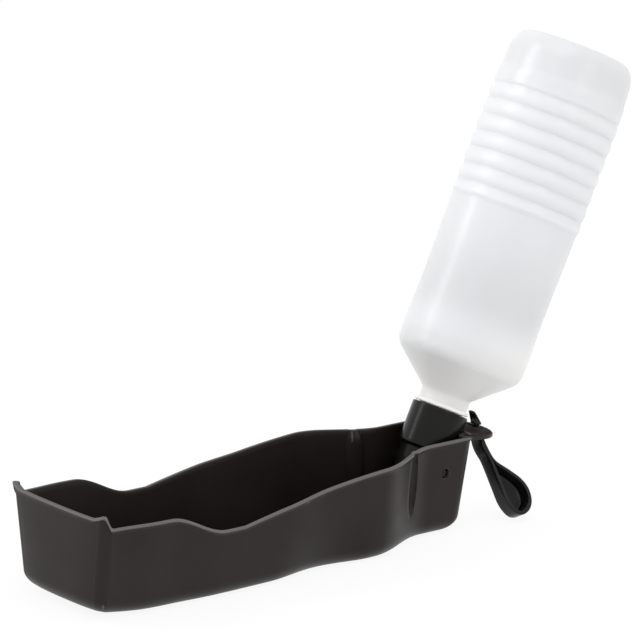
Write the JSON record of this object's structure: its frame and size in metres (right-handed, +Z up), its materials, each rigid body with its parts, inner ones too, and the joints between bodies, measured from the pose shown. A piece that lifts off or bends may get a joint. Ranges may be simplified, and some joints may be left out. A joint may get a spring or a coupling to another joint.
{
  "type": "dog travel water bottle",
  "caption": "Dog travel water bottle: a squeeze bottle screwed to a pivoting spout cap in a long folding drinking tray, with a rubber hanging strap.",
  "frame": {"origin": "on the tray's underside, directly below the middle of the hinge pin", "axes": "+X along the tray towards the hanging tab, +Z up, Y across the tray along the hinge pin"},
  "size_m": [0.3476, 0.0776, 0.2415],
  "materials": {
    "tray_plastic": "matt charcoal, lightly worn satin",
    "cap_plastic": "smooth black, semi-gloss",
    "bottle_plastic": "milky translucent, satin",
    "strap_rubber": "smooth black rubber",
    "seal_rubber": "pale translucent rubber"
  },
  "bodies": {
    "tray_body": {"tray": "tray_plastic"},
    "cap_body": {"cap": "cap_plastic", "slit_valve": "seal_rubber", "valve_retainer": "cap_plastic"},
    "washer_body": {"seal_washer": "seal_rubber"},
    "bottle_body": {"bottle": "bottle_plastic"},
    "strap_body": {"strap": "strap_rubber"}
  },
  "joints": [
    {"name": "fold", "type": "hinge", "parent": "tray_body", "child": "cap_body", "pos_m": [0, 0, 0.0315], "axis": [0, -1, 0], "range_deg": [0, 111]},
    {"name": "neck_lift", "type": "slide", "parent": "cap_body", "child": "washer_body", "axis": [0.421, 0, 0.907], "range_m": [0, 0.0033]},
    {"name": "bottle_turn", "type": "hinge", "parent": "washer_body", "child": "bottle_body", "pos_m": [0, 0, 0.0315], "axis": [0.421, 0, 0.907], "range_deg": [0, 360]},
    {"name": "strap_tilt", "type": "hinge", "parent": "tray_body", "child": "strap_body", "pos_m": [0.0355, 0, 0.0439], "axis": [0, -1, 0], "range_deg": [0, 15]}
  ],
  "couplings": [
    {"joint": "neck_lift", "follows": "bottle_turn", "m_per_rad": 0.0005093}
  ]
}
